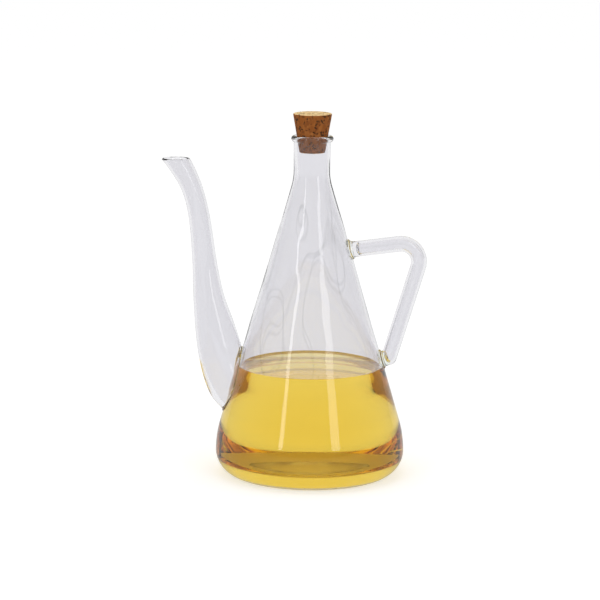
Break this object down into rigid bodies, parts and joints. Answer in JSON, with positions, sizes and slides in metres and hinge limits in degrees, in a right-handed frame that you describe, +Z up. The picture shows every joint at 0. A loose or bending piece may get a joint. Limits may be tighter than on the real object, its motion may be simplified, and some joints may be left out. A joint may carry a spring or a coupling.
{
  "type": "oil bottle",
  "caption": "Cone-shaped glass oil cruet with a thin side spout, a bent tube handle and a cork, part filled with golden oil.",
  "frame": {"origin": "centre of the bottle's round base, on the flat face it stands on", "axes": "+Z up along the bottle's axis, spout towards -X, handle towards +X"},
  "size_m": [0.1475, 0.105, 0.2021],
  "materials": {
    "glass": "clear, polished",
    "oil": "clear golden liquid",
    "cork": "matt natural cork"
  },
  "bodies": {
    "root": {"glass_bottle": "glass", "oil": "oil", "cork_stopper": "cork"}
  },
  "joints": []
}
